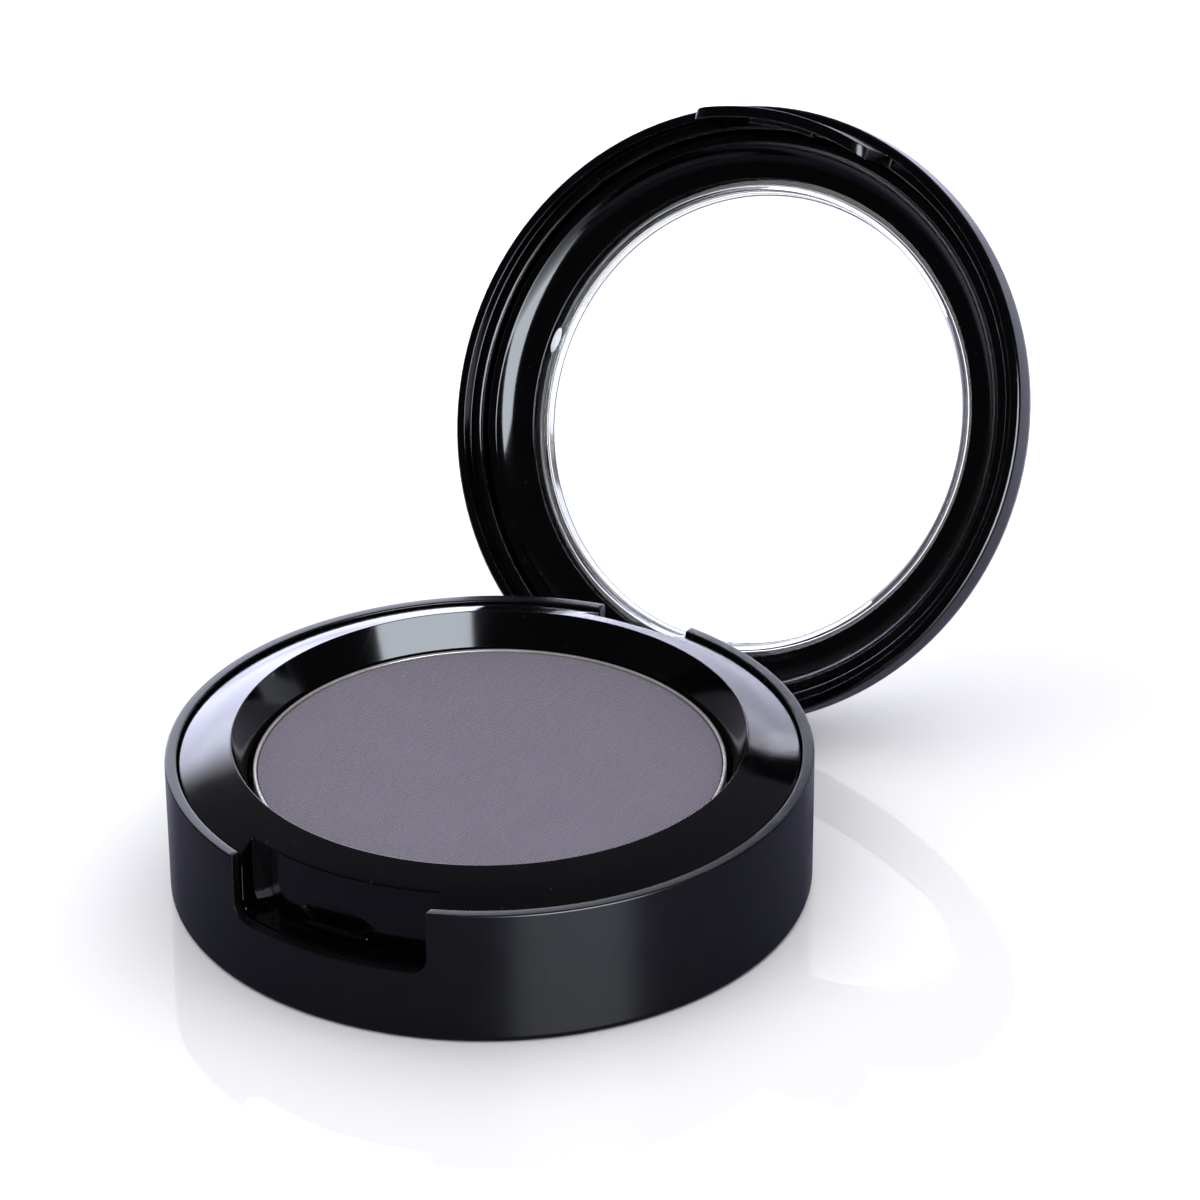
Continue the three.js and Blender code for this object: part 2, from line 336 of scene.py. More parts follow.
def makeDustGroup():
    # sparse specks, each a different size
    group, inn, out = newGroup(
        "dustSpecks",
        [("Position", "NodeSocketVector", None), ("Scale", "NodeSocketFloat", 700.0),
         ("Amount", "NodeSocketFloat", 0.3)],
        [("Mask", "NodeSocketFloat")],
    )
    cells = group.nodes.new("ShaderNodeTexVoronoi")
    group.links.new(inn.outputs["Position"], cells.inputs["Vector"])
    group.links.new(inn.outputs["Scale"], cells.inputs["Scale"])
    pale = group.nodes.new("ShaderNodeSeparateColor")
    group.links.new(cells.outputs["Color"], pale.inputs["Color"])
    size = addRange(group, pale.outputs["Red"], 0.75, 1.0, 0.0, 0.16)
    speck = addMath(group, "LESS_THAN", cells.outputs["Distance"], size)
    group.links.new(addMath(group, "MULTIPLY", speck, inn.outputs["Amount"]), out.inputs["Mask"])
    return group


def makeHairlineGroup():
    # long faint hairlines from wiping, as a mask
    group, inn, out = newGroup(
        "hairlines",
        [("Position", "NodeSocketVector", None), ("Amount", "NodeSocketFloat", 0.3)],
        [("Mask", "NodeSocketFloat")],
    )
    both = None
    for turn in (0.5, 1.9):
        lay = group.nodes.new("ShaderNodeMapping")
        lay.inputs["Rotation"].default_value = (0.2, 0.1, turn)
        lay.inputs["Scale"].default_value = (5200, 90, 90)
        group.links.new(inn.outputs["Position"], lay.inputs["Vector"])
        line = addRange(group, addNoise(group, lay.outputs["Vector"], 1.0, 0.0), 0.72, 0.8)
        both = line if both is None else addMath(group, "MAXIMUM", both, line)
    group.links.new(addMath(group, "MULTIPLY", both, inn.outputs["Amount"], True), out.inputs["Mask"])
    return group


def makeClothGroup():
    # the print of a twill pressing cloth: fine ribs one way, finer threads across them
    group, inn, out = newGroup(
        "pressCloth",
        [("Position", "NodeSocketVector", None), ("Pitch", "NodeSocketFloat", 0.25)],
        [("Height", "NodeSocketFloat")],
    )
    wobble = addNoise(group, inn.outputs["Position"], 160.0, 2.0)
    parts = group.nodes.new("ShaderNodeSeparateXYZ")
    group.links.new(inn.outputs["Position"], parts.inputs["Vector"])
    waves = []
    for alongX, alongY, finer in ((1.0, 0.1, 1.0), (-0.1, 1.0, 0.7)):
        across = addMath(
            group, "ADD",
            addMath(group, "MULTIPLY", parts.outputs["X"], alongX / mm),
            addMath(group, "MULTIPLY", parts.outputs["Y"], alongY / mm),
        )
        across = addMath(group, "ADD", across, addMath(group, "MULTIPLY", wobble, 0.5))
        count = addMath(group, "DIVIDE", across, inn.outputs["Pitch"])
        waves.append(addMath(group, "SINE", addMath(group, "MULTIPLY", count, 2 * math.pi * finer)))
    ribs = addMath(group, "MULTIPLY", waves[0], 0.6)
    threads = addMath(group, "MULTIPLY", waves[1], 0.4)
    group.links.new(addMath(group, "ADD", ribs, threads), out.inputs["Height"])
    return group


edgeWear = makeEdgeWearGroup()
mouldGrain = makeGrainGroup()
dustSpecks = makeDustGroup()
hairlines = makeHairlineGroup()
pressCloth = makeClothGroup()


def useGroup(nt, group, where, **values):
    node = nt.nodes.new("ShaderNodeGroup")
    node.node_tree = group
    nt.links.new(where, node.inputs["Position"])
    for label, value in values.items():
        node.inputs[label].default_value = value
    return node


def objectPosition(nt):
    return nt.nodes.new("ShaderNodeTexCoord").outputs["Object"]


def mixColour(nt, factor, a, b):
    node = nt.nodes.new("ShaderNodeMix")
    node.data_type = "RGBA"
    nt.links.new(factor, node.inputs["Factor"])
    colourInputs = [s for s in node.inputs if s.type == "RGBA"]
    for socket, value in zip(colourInputs, (a, b)):
        if isinstance(value, tuple):
            socket.default_value = (*value, 1)
        else:
            nt.links.new(value, socket)
    return next(s for s in node.outputs if s.type == "RGBA")


def bumpInto(nt, shader, height, strength, distance):
    bump = nt.nodes.new("ShaderNodeBump")
    bump.inputs["Strength"].default_value = strength
    bump.inputs["Distance"].default_value = distance
    nt.links.new(height, bump.inputs["Height"])
    nt.links.new(bump.outputs["Normal"], shader.inputs["Normal"])


def makeBlackPlastic(name, look):
    mat, nt, shader = newMaterial(name)
    where = objectPosition(nt)
    grain = useGroup(nt, mouldGrain, where, Fine=look["grainScale"], Broad=look["driftScale"])
    worn = useGroup(nt, edgeWear, where, Amount=look["wear"], Breakup=look["wearScale"])
    dust = useGroup(nt, dustSpecks, where, Scale=look["dustScale"], Amount=look["dust"])
    lines = useGroup(nt, hairlines, where, Amount=look["hairlines"])
    base = mixColour(nt, grain.outputs["Drift"], look["dark"], look["light"])
    base = mixColour(nt, worn.outputs["Mask"], base, look["wornColour"])
    base = mixColour(nt, dust.outputs["Mask"], base, look["dustColour"])
    nt.links.new(base, shader.inputs["Base Color"])
    rough = addRange(nt, grain.outputs["Drift"], 0.3, 0.7, look["roughLow"], look["roughHigh"])
    for mark, added in ((worn, 0.15), (lines, 0.12), (dust, 0.4)):
        rough = addMath(nt, "ADD", rough, addMath(nt, "MULTIPLY", mark.outputs["Mask"], added), True)
    nt.links.new(rough, shader.inputs["Roughness"])
    shader.inputs["IOR"].default_value = 1.5
    bumpInto(nt, shader, grain.outputs["Height"], look["bump"], look["bumpDepth"])
    return mat


satinLook = {
    "dark": (0.0014, 0.0014, 0.002), "light": (0.0026, 0.0026, 0.0034),
    "wornColour": (0.012, 0.012, 0.014), "dustColour": (0.3, 0.3, 0.31),
    "grainScale": 9000.0, "driftScale": 260.0, "wear": 0.6, "wearScale": 1200.0,
    "dust": 0.02, "dustScale": 1100.0,
    "hairlines": 0.1, "roughLow": 0.22, "roughHigh": 0.27, "bump": 0.2, "bumpDepth": 0.01 * mm,
}
glossLook = {
    "dark": (0.0004, 0.0004, 0.0006), "light": (0.0009, 0.0009, 0.0012),
    "wornColour": (0.006, 0.006, 0.007), "dustColour": (0.3, 0.3, 0.31),
    "grainScale": 900.0, "driftScale": 180.0, "wear": 0.4, "wearScale": 1200.0,
    "dust": 0.03, "dustScale": 1100.0,
    "hairlines": 0.3, "roughLow": 0.08, "roughHigh": 0.12, "bump": 0.03, "bumpDepth": 0.005 * mm,
}
# tone and rough name the side of the grain that drives them
tinplateLook = {
    "fine": 3000.0, "broad": 400.0, "tone": "Drift", "dark": (0.33, 0.31, 0.31),
    "light": (0.5, 0.48, 0.47), "rough": "Height", "roughLow": 0.3, "roughHigh": 0.5,
    "metal": 0.7, "bump": 0.15, "bumpDepth": 0.02 * mm,
}
labelLook = {
    "fine": 5000.0, "broad": 300.0, "tone": "Height", "dark": (0.72, 0.72, 0.7),
    "light": (0.84, 0.84, 0.83), "rough": "Drift", "roughLow": 0.55, "roughHigh": 0.7,
    "metal": 0.0, "bump": 0.3, "bumpDepth": 0.02 * mm,
}
adhesiveLook = {
    "fine": 1500.0, "broad": 200.0, "tone": "Drift", "dark": (0.62, 0.58, 0.46),
    "light": (0.75, 0.72, 0.62), "rough": "Height", "roughLow": 0.35, "roughHigh": 0.55,
    "metal": 0.0, "bump": 0.3, "bumpDepth": 0.05 * mm,
}
glueLook = {
    "fine": 4000.0, "broad": 900.0, "tone": "Drift", "dark": (0.5, 0.53, 0.62),
    "light": (0.8, 0.82, 0.88), "rough": "Height", "roughLow": 0.15, "roughHigh": 0.35,
    "metal": 0.0, "bump": 0.4, "bumpDepth": 0.04 * mm,
}
powderLook = {
    "pitch": 0.29, "fine": 16000.0, "broad": 120.0, "dark": (0.08, 0.07, 0.095),
    "light": (0.1, 0.088, 0.118), "threads": (0.155, 0.141, 0.178), "threadShare": 0.9,
    "rough": 0.92, "shine": 0.2, "clothHeight": 0.5, "grainHeight": 0.6,
    "bump": 1.0, "bumpDepth": 0.08 * mm,
}
steelLook = {
    "lay": (60, 6000, 6000), "dark": (0.42, 0.43, 0.45), "light": (0.6, 0.61, 0.63),
    "roughLow": 0.22, "roughHigh": 0.38, "bump": 0.2, "bumpDepth": 0.01 * mm,
}
clearLook = {
    "tint": (0.985, 0.99, 1.0, 1), "hairlines": 0.3, "dustScale": 300.0, "dust": 0.1,
    "roughLow": 0.0, "roughHigh": 0.1, "bend": 1.49,
}


def makeGrainyMaterial(name, look):
    # two tones, a roughness and a shallow bump, all from the same grain
    mat, nt, shader = newMaterial(name)
    grain = useGroup(nt, mouldGrain, objectPosition(nt), Fine=look["fine"], Broad=look["broad"])
    tone = mixColour(nt, grain.outputs[look["tone"]], look["dark"], look["light"])
    nt.links.new(tone, shader.inputs["Base Color"])
    rough = addRange(nt, grain.outputs[look["rough"]], 0.3, 0.7, look["roughLow"], look["roughHigh"])
    nt.links.new(rough, shader.inputs["Roughness"])
    shader.inputs["Metallic"].default_value = look["metal"]
    bumpInto(nt, shader, grain.outputs["Height"], look["bump"], look["bumpDepth"])
    return mat


def makePowderMaterial(name, look):
    mat, nt, shader = newMaterial(name)
    where = objectPosition(nt)
    cloth = useGroup(nt, pressCloth, where, Pitch=look["pitch"])
    grain = useGroup(nt, mouldGrain, where, Fine=look["fine"], Broad=look["broad"])
    tone = mixColour(nt, grain.outputs["Drift"], look["dark"], look["light"])
    pale = addRange(nt, cloth.outputs["Height"], -1.0, 1.0, 0.0, look["threadShare"])
    tone = mixColour(nt, pale, tone, look["threads"])
    nt.links.new(tone, shader.inputs["Base Color"])
    shader.inputs["Roughness"].default_value = look["rough"]
    shader.inputs["Specular IOR Level"].default_value = look["shine"]
    height = addMath(
        nt, "ADD", addMath(nt, "MULTIPLY", cloth.outputs["Height"], look["clothHeight"]),
        addMath(nt, "MULTIPLY", grain.outputs["Height"], look["grainHeight"]),
    )
    bumpInto(nt, shader, height, look["bump"], look["bumpDepth"])
    return mat


def makeSteelMaterial(name, look):
    mat, nt, shader = newMaterial(name)
    lay = nt.nodes.new("ShaderNodeMapping")
    lay.inputs["Scale"].default_value = look["lay"]
    nt.links.new(objectPosition(nt), lay.inputs["Vector"])
    drawn = addNoise(nt, lay.outputs["Vector"], 1.0, 2.0)
    nt.links.new(mixColour(nt, drawn, look["dark"], look["light"]), shader.inputs["Base Color"])
    rough = addRange(nt, drawn, 0.3, 0.7, look["roughLow"], look["roughHigh"])
    nt.links.new(rough, shader.inputs["Roughness"])
    shader.inputs["Metallic"].default_value = 1.0
    bumpInto(nt, shader, drawn, look["bump"], look["bumpDepth"])
    return mat


def makeClearMaterial(name, look):
    # clear to shadows, so that light still falls through the window
    mat, nt, shader = newMaterial(name)
    where = objectPosition(nt)
    lines = useGroup(nt, hairlines, where, Amount=look["hairlines"])
    dust = useGroup(nt, dustSpecks, where, Scale=look["dustScale"], Amount=look["dust"])
    marks = addMath(nt, "ADD", lines.outputs["Mask"], dust.outputs["Mask"], True)
    rough = addRange(nt, marks, 0.0, 1.0, look["roughLow"], look["roughHigh"])
    nt.links.new(rough, shader.inputs["Roughness"])
    shader.inputs["Base Color"].default_value = look["tint"]
    shader.inputs["IOR"].default_value = look["bend"]
    shader.inputs["Transmission Weight"].default_value = 1.0
    clear = nt.nodes.new("ShaderNodeBsdfTransparent")
    path = nt.nodes.new("ShaderNodeLightPath")
    mix = nt.nodes.new("ShaderNodeMixShader")
    nt.links.new(path.outputs["Is Shadow Ray"], mix.inputs["Fac"])
    nt.links.new(shader.outputs["BSDF"], mix.inputs[1])
    nt.links.new(clear.outputs["BSDF"], mix.inputs[2])
    nt.links.new(mix.outputs["Shader"], nt.nodes["Material Output"].inputs["Surface"])
    return mat


satinBlack = makeBlackPlastic("satinBlackPlastic", satinLook)
glossBlack = makeBlackPlastic("glossBlackPlastic", glossLook)
pressedGrey = makePowderMaterial("greyPressedPowder", powderLook)
tinplate = makeGrainyMaterial("drawnTinplate", tinplateLook)
drawnSteel = makeSteelMaterial("drawnSteel", steelLook)
labelPaper = makeGrainyMaterial("whiteLabelPaper", labelLook)
adhesive = makeGrainyMaterial("paleAdhesive", adhesiveLook)
setGlue = makeGrainyMaterial("setGlue", glueLook)
clearPlastic = makeClearMaterial("clearPlastic", clearLook)
print("materials are mixed")


cameraSetup = {
    "lens": 195,                           # a long lens, so the rings stay close to true ellipses
    "aim": (0, 0, 20 * mm),
    "distance": 596.9 * mm,
    "turn": 30.17,                         # degrees round from the finger notch, towards +X
    "height": 28.28,                       # degrees above the floor
    "lean": -0.51,
    "slideRight": 10.24 * mm,
    "slideUp": 7.82 * mm,
}


def setCamera(setup):
    turn, height, lean = (math.radians(setup[k]) for k in ("turn", "height", "lean"))
    level = math.cos(height)
    back = Vector((math.sin(turn) * level, -math.cos(turn) * level, math.sin(height)))
    right = Vector((math.cos(turn), math.sin(turn), 0))
    up = back.cross(right)
    leanRight = right * math.cos(lean) + up * math.sin(lean)
    leanUp = up * math.cos(lean) - right * math.sin(lean)
    place = Vector(setup["aim"]) + back * setup["distance"]
    place += leanRight * setup["slideRight"] + leanUp * setup["slideUp"]
    bpy.ops.object.camera_add(location=place)
    camera = bpy.context.object
    camera.name = "studioCamera"
    camera.rotation_euler = Matrix((leanRight, leanUp, back)).transposed().to_euler()
    camera.data.lens = setup["lens"]
    camera.data.clip_start = 0.01
    bpy.context.scene.camera = camera


studio = {
    "floorSize": 6.0,
    "floorColour": (0.6, 0.595, 0.62, 1),
    "floorRough": 0.02,
    "mirroredFront": (0.08, 0.08, 0.12),    # how the floor looks in the gloss of the compact: a painted reflection, with painted shade in front and painted light behind
    "mirroredBehind": (0.5, 0.5, 0.66),
    "mirroredTurn": (10 * mm, 70 * mm),     # where one passes into the other
    "mirroredRough": 0.1,
    "skyFront": (0.03, 0.03, 0.035, 1),
    "skyBack": (0.15, 0.15, 0.17, 1),
    "skyLift": 0.4,                         # how much the sky brightens upwards too
    "skyTurn": (0.2, 0.8),
}
# Name, degrees round from the camera, distance, low and high edge, width, glow, how far out the
# glow stays full, and colour. These show in the gloss; the fills below give the light.
softBoxes = [
    ("keyBox", 29.5, 0.75, 0.0, 0.68, 0.59, 12.5, None, (0.84, 0.91, 1)),
    ("backGlowLeft", 194, 0.75, -0.09, 0.49, 0.84, 5.8, 0.4, (0.76, 0.78, 1)),
    ("backGlowRight", 167, 0.75, -0.09, 0.42, 0.7, 2.6, 0.5, (0.76, 0.78, 1)),
    ("sideGlowRight", 137, 0.75, -0.09, 0.3, 0.34, 1.0, 0.6, (0.76, 0.78, 1)),
    ("backWash", 181, 0.9, 0.24, 0.68, 1.5, 1.2, 0.6, (0.9, 0.92, 1)),
]
fills = [
    # name, place, size, glow
    ("overheadFill", (0.05, 0.12, 1.15), 2.4, 2.1),
    ("frontFill", (-0.25, -0.8, 0.75), 1.2, 1.9),
    ("backFill", (0.3, 0.95, 0.8), 1.2, 1.2),
]


def makeFloor(setup):
    # pale to the eye; in the compact's own gloss it shows a painted reflection, dim in front and brighter
    # behind as painted light
    deselectAll()
    bpy.ops.mesh.primitive_plane_add(size=setup["floorSize"], location=(0, 0, 0))
    floor = bpy.context.object
    floor.name = "studioFloor"
    mat = bpy.data.materials.new("paleFloor")
    mat.use_nodes = True
    nt = mat.node_tree
    nt.nodes.clear()
    out = nt.nodes.new("ShaderNodeOutputMaterial")
    pale = nt.nodes.new("ShaderNodeBsdfPrincipled")
    pale.inputs["Base Color"].default_value = setup["floorColour"]
    pale.inputs["Roughness"].default_value = setup["floorRough"]
    dim = nt.nodes.new("ShaderNodeBsdfPrincipled")
    behind = nt.nodes.new("ShaderNodeVectorMath")
    behind.operation = "DOT_PRODUCT"
    turn = math.radians(cameraSetup["turn"])
    behind.inputs[1].default_value = (-math.sin(turn), math.cos(turn), 0)
    nt.links.new(objectPosition(nt), behind.inputs[0])
    # painted light for the gloss only: the mirrored floor goes from painted shade in front to painted light
    # behind
    far = addRange(nt, behind.outputs["Value"], *setup["mirroredTurn"])
    tone = mixColour(nt, far, setup["mirroredFront"], setup["mirroredBehind"])
    nt.links.new(tone, dim.inputs["Base Color"])
    dim.inputs["Roughness"].default_value = setup["mirroredRough"]
    path = nt.nodes.new("ShaderNodeLightPath")
    mix = nt.nodes.new("ShaderNodeMixShader")
    glossy, clear = path.outputs["Is Glossy Ray"], path.outputs["Is Transmission Ray"]
    mirrored = addMath(nt, "SUBTRACT", glossy, clear, True)
    nt.links.new(mirrored, mix.inputs["Fac"])
    nt.links.new(pale.outputs["BSDF"], mix.inputs[1])
    nt.links.new(dim.outputs["BSDF"], mix.inputs[2])
    nt.links.new(mix.outputs["Shader"], out.inputs["Surface"])
    floor.data.materials.append(mat)


def setSky(setup):
    world = bpy.data.worlds.new("studioSky")
    bpy.context.scene.world = world
    world.use_nodes = True
    nt = world.node_tree
    sky = nt.nodes["Background"]
    way = nt.nodes.new("ShaderNodeTexCoord")
    facing = nt.nodes.new("ShaderNodeVectorMath")
    facing.operation = "DOT_PRODUCT"
    turn = math.radians(cameraSetup["turn"])
    facing.inputs[1].default_value = (-math.sin(turn), math.cos(turn), setup["skyLift"])
    ramp = nt.nodes.new("ShaderNodeValToRGB")
    for stop, at, colour in zip(ramp.color_ramp.elements, setup["skyTurn"], ("skyFront", "skyBack")):
        stop.position = at
        stop.color = setup[colour]
    nt.links.new(way.outputs["Generated"], facing.inputs[0])
    nt.links.new(facing.outputs["Value"], ramp.inputs["Fac"])
    nt.links.new(ramp.outputs["Color"], sky.inputs["Color"])


def hangBox(name, place, aim, width, height, glow, colour=(1, 1, 1)):
    # glow is how bright the box itself looks
    bpy.ops.object.light_add(type="AREA", location=place)
    lamp = bpy.context.object
    lamp.name = name
    lamp.data.shape = "RECTANGLE"
    lamp.data.size = width
    lamp.data.size_y = height
    lamp.data.energy = glow * math.pi * width * height
    lamp.data.color = colour
    lamp.rotation_euler = (Vector(aim) - Vector(place)).to_track_quat("-Z", "Y").to_euler()
    return lamp


def fadeOut(lamp, full):
    # the box glows evenly out to this share of its size, then fades to its edge
    lamp.data.use_nodes = True
    nt = lamp.data.node_tree
    spot = nt.nodes.new("ShaderNodeNewGeometry")
    shift = nt.nodes.new("ShaderNodeVectorMath")
    shift.operation = "SUBTRACT"
    shift.inputs[1].default_value = (0.5, 0.5, 0)
    nt.links.new(spot.outputs["Parametric"], shift.inputs[0])
    parts = nt.nodes.new("ShaderNodeSeparateXYZ")
    nt.links.new(shift.outputs["Vector"], parts.inputs["Vector"])
    across = addMath(nt, "MULTIPLY", parts.outputs["X"], parts.outputs["X"])
    upright = addMath(nt, "MULTIPLY", parts.outputs["Y"], parts.outputs["Y"])
    out = addMath(nt, "SQRT", addMath(nt, "ADD", across, upright))
    fade = nt.nodes.new("ShaderNodeMapRange")
    fade.interpolation_type = "SMOOTHERSTEP"
    nt.links.new(out, fade.inputs["Value"])
    for label, value in (("From Min", full / 2), ("From Max", 0.5), ("To Min", 1.0), ("To Max", 0.0)):
        fade.inputs[label].default_value = value
    nt.links.new(fade.outputs["Result"], nt.nodes["Emission"].inputs["Strength"])


def standBox(name, around, distance, low, high, width, glow, full, colour):
    # an upright soft box round the compact, measured from the camera's side
    turn = math.radians(cameraSetup["turn"] + around)
    middle = (low + high) / 2
    place = (math.sin(turn) * distance, -math.cos(turn) * distance, middle)
    lamp = hangBox(name, place, (0, 0, middle), width, high - low, glow, colour)
    lamp.visible_diffuse = False
    if full:
        fadeOut(lamp, full)


setCamera(cameraSetup)
makeFloor(studio)
setSky(studio)
for box in softBoxes:
    standBox(*box)
for name, where, size, glow in fills:
    hangBox(name, where, (0, 0, 0), size, size, glow).visible_glossy = False
bpy.context.scene.view_settings.view_transform = "Standard"
print("camera, floor and soft boxes are up")


baseCup = {
    "radius": 30.0, "footRadius": 29.9, "height": 13.3, "wall": 1.1, "floor": 1.6,
    "footRound": 0.7, "rimRound": 0.18, "labelWell": 19.0, "labelDepth": 0.25,
    "notchHalf": 10.1, "notchFloor": 7.0, "notchCorner": 1.5,
    "slotHalf": 4.7, "slotFloor": 2.2, "slotCorner": 0.6, "slotDepth": 25.6,
    "edgeRound": 0.12, "innerRound": 0.5,
}


def makeBaseShell(cup):
    inner = cup["radius"] - cup["wall"]
    outline = [
        (0, cup["labelDepth"]),
        (cup["labelWell"], cup["labelDepth"]),
        (cup["labelWell"], 0),
        *arcRun((cup["footRadius"] - cup["footRound"], cup["footRound"]), cup["footRound"], -90, 0, 8),
        (cup["radius"], cup["height"]),
        (inner, cup["height"]),
        (inner, cup["floor"]),
        (0, cup["floor"]),
    ]
    shell = turnOnLathe("baseShell", outline, startStep=0.5)
    above = cup["height"] + aboveRim
    notch = makeTongue(
        "notchTool", cup["notchHalf"], cup["notchFloor"], above, cup["notchCorner"], -pastRim, -pastWall
    )
    combine(shell, notch)
    slot = makeTongue(
        "slotTool", cup["slotHalf"], cup["slotFloor"], above, cup["slotCorner"], cup["slotDepth"], pastRim
    )
    combine(shell, slot)
    rims = [
        (onRing(cup["radius"], cup["height"]), cup["rimRound"]),
        (onRing(inner, cup["height"]), cup["rimRound"]),
        (onRing(inner, cup["floor"]), cup["innerRound"]),
    ]
    softenEdges(shell, 30, cup["edgeRound"], rims)
    fit(shell, "base", "base_shell", "satin_black_plastic", satinBlack)


makeBaseShell(baseCup)
print("base shell is moulded")


tray = {
    "radius": 28.75, "skirtOuter": 27.0, "skirtInner": 25.8, "skirtFloor": 1.7, "bandFloor": 5.5,
    "wellRadius": 22.4, "wellDraft": 0.05, "ledge": 11.7, "ledgeSkin": 0.5, "wellFloor": 7.5,
    "wellSkin": 1.0, "deckUnder": (24.5, 13.3), "skirtTop": 12.88,
    "deck": [(28.75, 13.0), (26.25, 14.12), (23.8, 14.93)],
    "pocketHalf": 9.9, "pocketFloor": 7.0, "pocketCorner": 1.5, "pocketOut": 35.0,
    "catchHalf": 3.8, "catchRise": 1.2, "catchHeight": 9.15, "catchDepth": -26.3, "catchOut": 32.0,
    "lip": (3.3, 0.4, 0.35), "lipHeight": 8.0,
    "boreRadius": 0.65, "boreLength": 11.8,
    "edgeRound": 0.1, "crownRound": 0.08, "rimRound": 0.15, "wellRound": 0.3,
}


def makeBaseTray(tray, cup):
    outer = tray["wellRadius"] + tray["wellSkin"]
    outline = [
        (0, tray["wellFloor"] - tray["wellSkin"]),
        (outer, tray["wellFloor"] - tray["wellSkin"]),
        (outer, tray["ledge"] - tray["ledgeSkin"]),
        tray["deckUnder"],
        (tray["skirtInner"], tray["skirtTop"]),
        (tray["skirtInner"], tray["skirtFloor"]),
        (tray["skirtOuter"], tray["skirtFloor"]),
        (tray["skirtOuter"], tray["bandFloor"]),
        (tray["radius"], tray["bandFloor"]),
        *smoothRun(tray["deck"], 6),
        (tray["wellRadius"] + tray["wellDraft"], tray["ledge"]),
        (tray["wellRadius"], tray["wellFloor"]),
        (0, tray["wellFloor"]),
    ]
    body = turnOnLathe("baseTray", outline)
    above = cup["height"] + aboveRim
    below = tray["pocketFloor"] - 1
    ring = turnOnLathe("pocketTool", [
        (tray["skirtOuter"], below), (pastRim, below), (pastRim, above), (tray["skirtOuter"], above),
    ])
    tongue = makeTongue(
        "pocketTongue", tray["pocketHalf"], tray["pocketFloor"], above + 1, tray["pocketCorner"],
        -tray["pocketOut"], -pastWall
    )
    combine(ring, tongue, "INTERSECT")
    combine(body, ring)
    slot = makeBlock("slotTool", (-cup["slotHalf"], cup["slotDepth"], 0), (cup["slotHalf"], pastRim, above))
    combine(body, slot)
    # the catch is a lens shaped recess: where two round bars cross
    half, rise = tray["catchHalf"], tray["catchRise"]
    bend = (half ** 2 + rise ** 2) / (2 * rise)
    middle = (tray["catchDepth"] - tray["catchOut"]) / 2
    length = tray["catchOut"] + tray["catchDepth"]
    low = makeBar("lensLow", bend, length, (0, middle, tray["catchHeight"] + rise - bend), 192, "Y")
    high = makeBar("lensHigh", bend, length, (0, middle, tray["catchHeight"] - rise + bend), 192, "Y")
    combine(low, high, "INTERSECT")
    combine(body, low)
    bpy.ops.mesh.primitive_uv_sphere_add(segments=48, ring_count=24, radius=mm, location=(0, 0, 0))
    lip = bpy.context.object
    bpy.ops.object.mode_set(mode="EDIT")
    bpy.ops.transform.resize(value=tray["lip"])
    bpy.ops.transform.translate(value=Vector((0, -tray["skirtOuter"], tray["lipHeight"])) * mm)
    bpy.ops.object.mode_set(mode="OBJECT")
    combine(body, lip, "UNION")
    bore = makeBar("boreTool", tray["boreRadius"], tray["boreLength"], Vector(hingeLine) / mm)
    combine(body, bore)
    lipFront = 1 - tray["skirtOuter"]
    lipZone = tray["lip"][2] + 0.1
    special = [
        (onRing(*tray["deck"][-1]), tray["crownRound"]),
        (onRing(*tray["deck"][0]), tray["rimRound"]),
        (onRing(tray["wellRadius"], tray["wellFloor"]), tray["wellRound"]),
        (lambda a, b: max(a.y, b.y) < lipFront and abs(a.z - tray["lipHeight"]) < lipZone, 0),
    ]
    softenEdges(body, 18, tray["edgeRound"], special)
    fit(body, "base", "base_tray", "gloss_black_plastic", glossBlack)


makeBaseTray(tray, baseCup)
print("inner tray is moulded")


label = {"radius": 18.7, "thick": 0.2, "edgeRound": 0.04}
pan = {"radius": 21.9, "wall": 0.35, "floor": 7.85, "top": 11.85, "corner": 0.4, "edgeRound": 0.12}
powder = {"low": 8.25, "radius": 21.5, "top": 11.68, "edgeRound": 0.15}


def makeLabel(label):
    disc = turnOnLathe("baseLabel", [
        (0, 0),
        (label["radius"], 0),
        (label["radius"], label["thick"]),
        (0, label["thick"]),
    ])
    softenEdges(disc, 30, label["edgeRound"])
    fit(disc, "base", "base_label", "white_label", labelPaper)


def makePan(pan):
    inner = pan["radius"] - pan["wall"]
    corner = (pan["radius"] - pan["corner"], pan["floor"] + pan["corner"])
    cup = turnOnLathe("powderPan", [
        (0, pan["floor"]),
        *arcRun(corner, pan["corner"], -90, 0, 6),
        (pan["radius"], pan["top"]),
        (inner, pan["top"]),
        (inner, pan["floor"] + pan["wall"]),
        (0, pan["floor"] + pan["wall"]),
    ])
    softenEdges(cup, 30, pan["edgeRound"])
    fit(cup, "base", "powder_pan", "pan_metal", tinplate)


def makePowder(powder):
    cake = turnOnLathe("pressedPowder", [
        (0, powder["low"]),
        (powder["radius"], powder["low"]),
        (powder["radius"], powder["top"]),
        (0, powder["top"]),
    ])
    softenEdges(cake, 30, powder["edgeRound"])
    fit(cake, "base", "pressed_powder", "grey_powder", pressedGrey)


makeLabel(label)
makePan(pan)
makePowder(powder)
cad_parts["pan_adhesive"].data.materials.clear()
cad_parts["pan_adhesive"].data.materials.append(adhesive)
print("label, pan and powder are in")


pin = {"radius": 0.5, "length": 11.4, "endRound": 0.1}


def makePin(pin):
    bar = makeBar("hingePin", pin["radius"], pin["length"], Vector(hingeLine) / mm, 48)
    softenEdges(bar, 30, pin["endRound"])
    fit(bar, "base", "hinge_pin", "pin_steel", drawnSteel)


makePin(pin)
print("hinge pin is in")


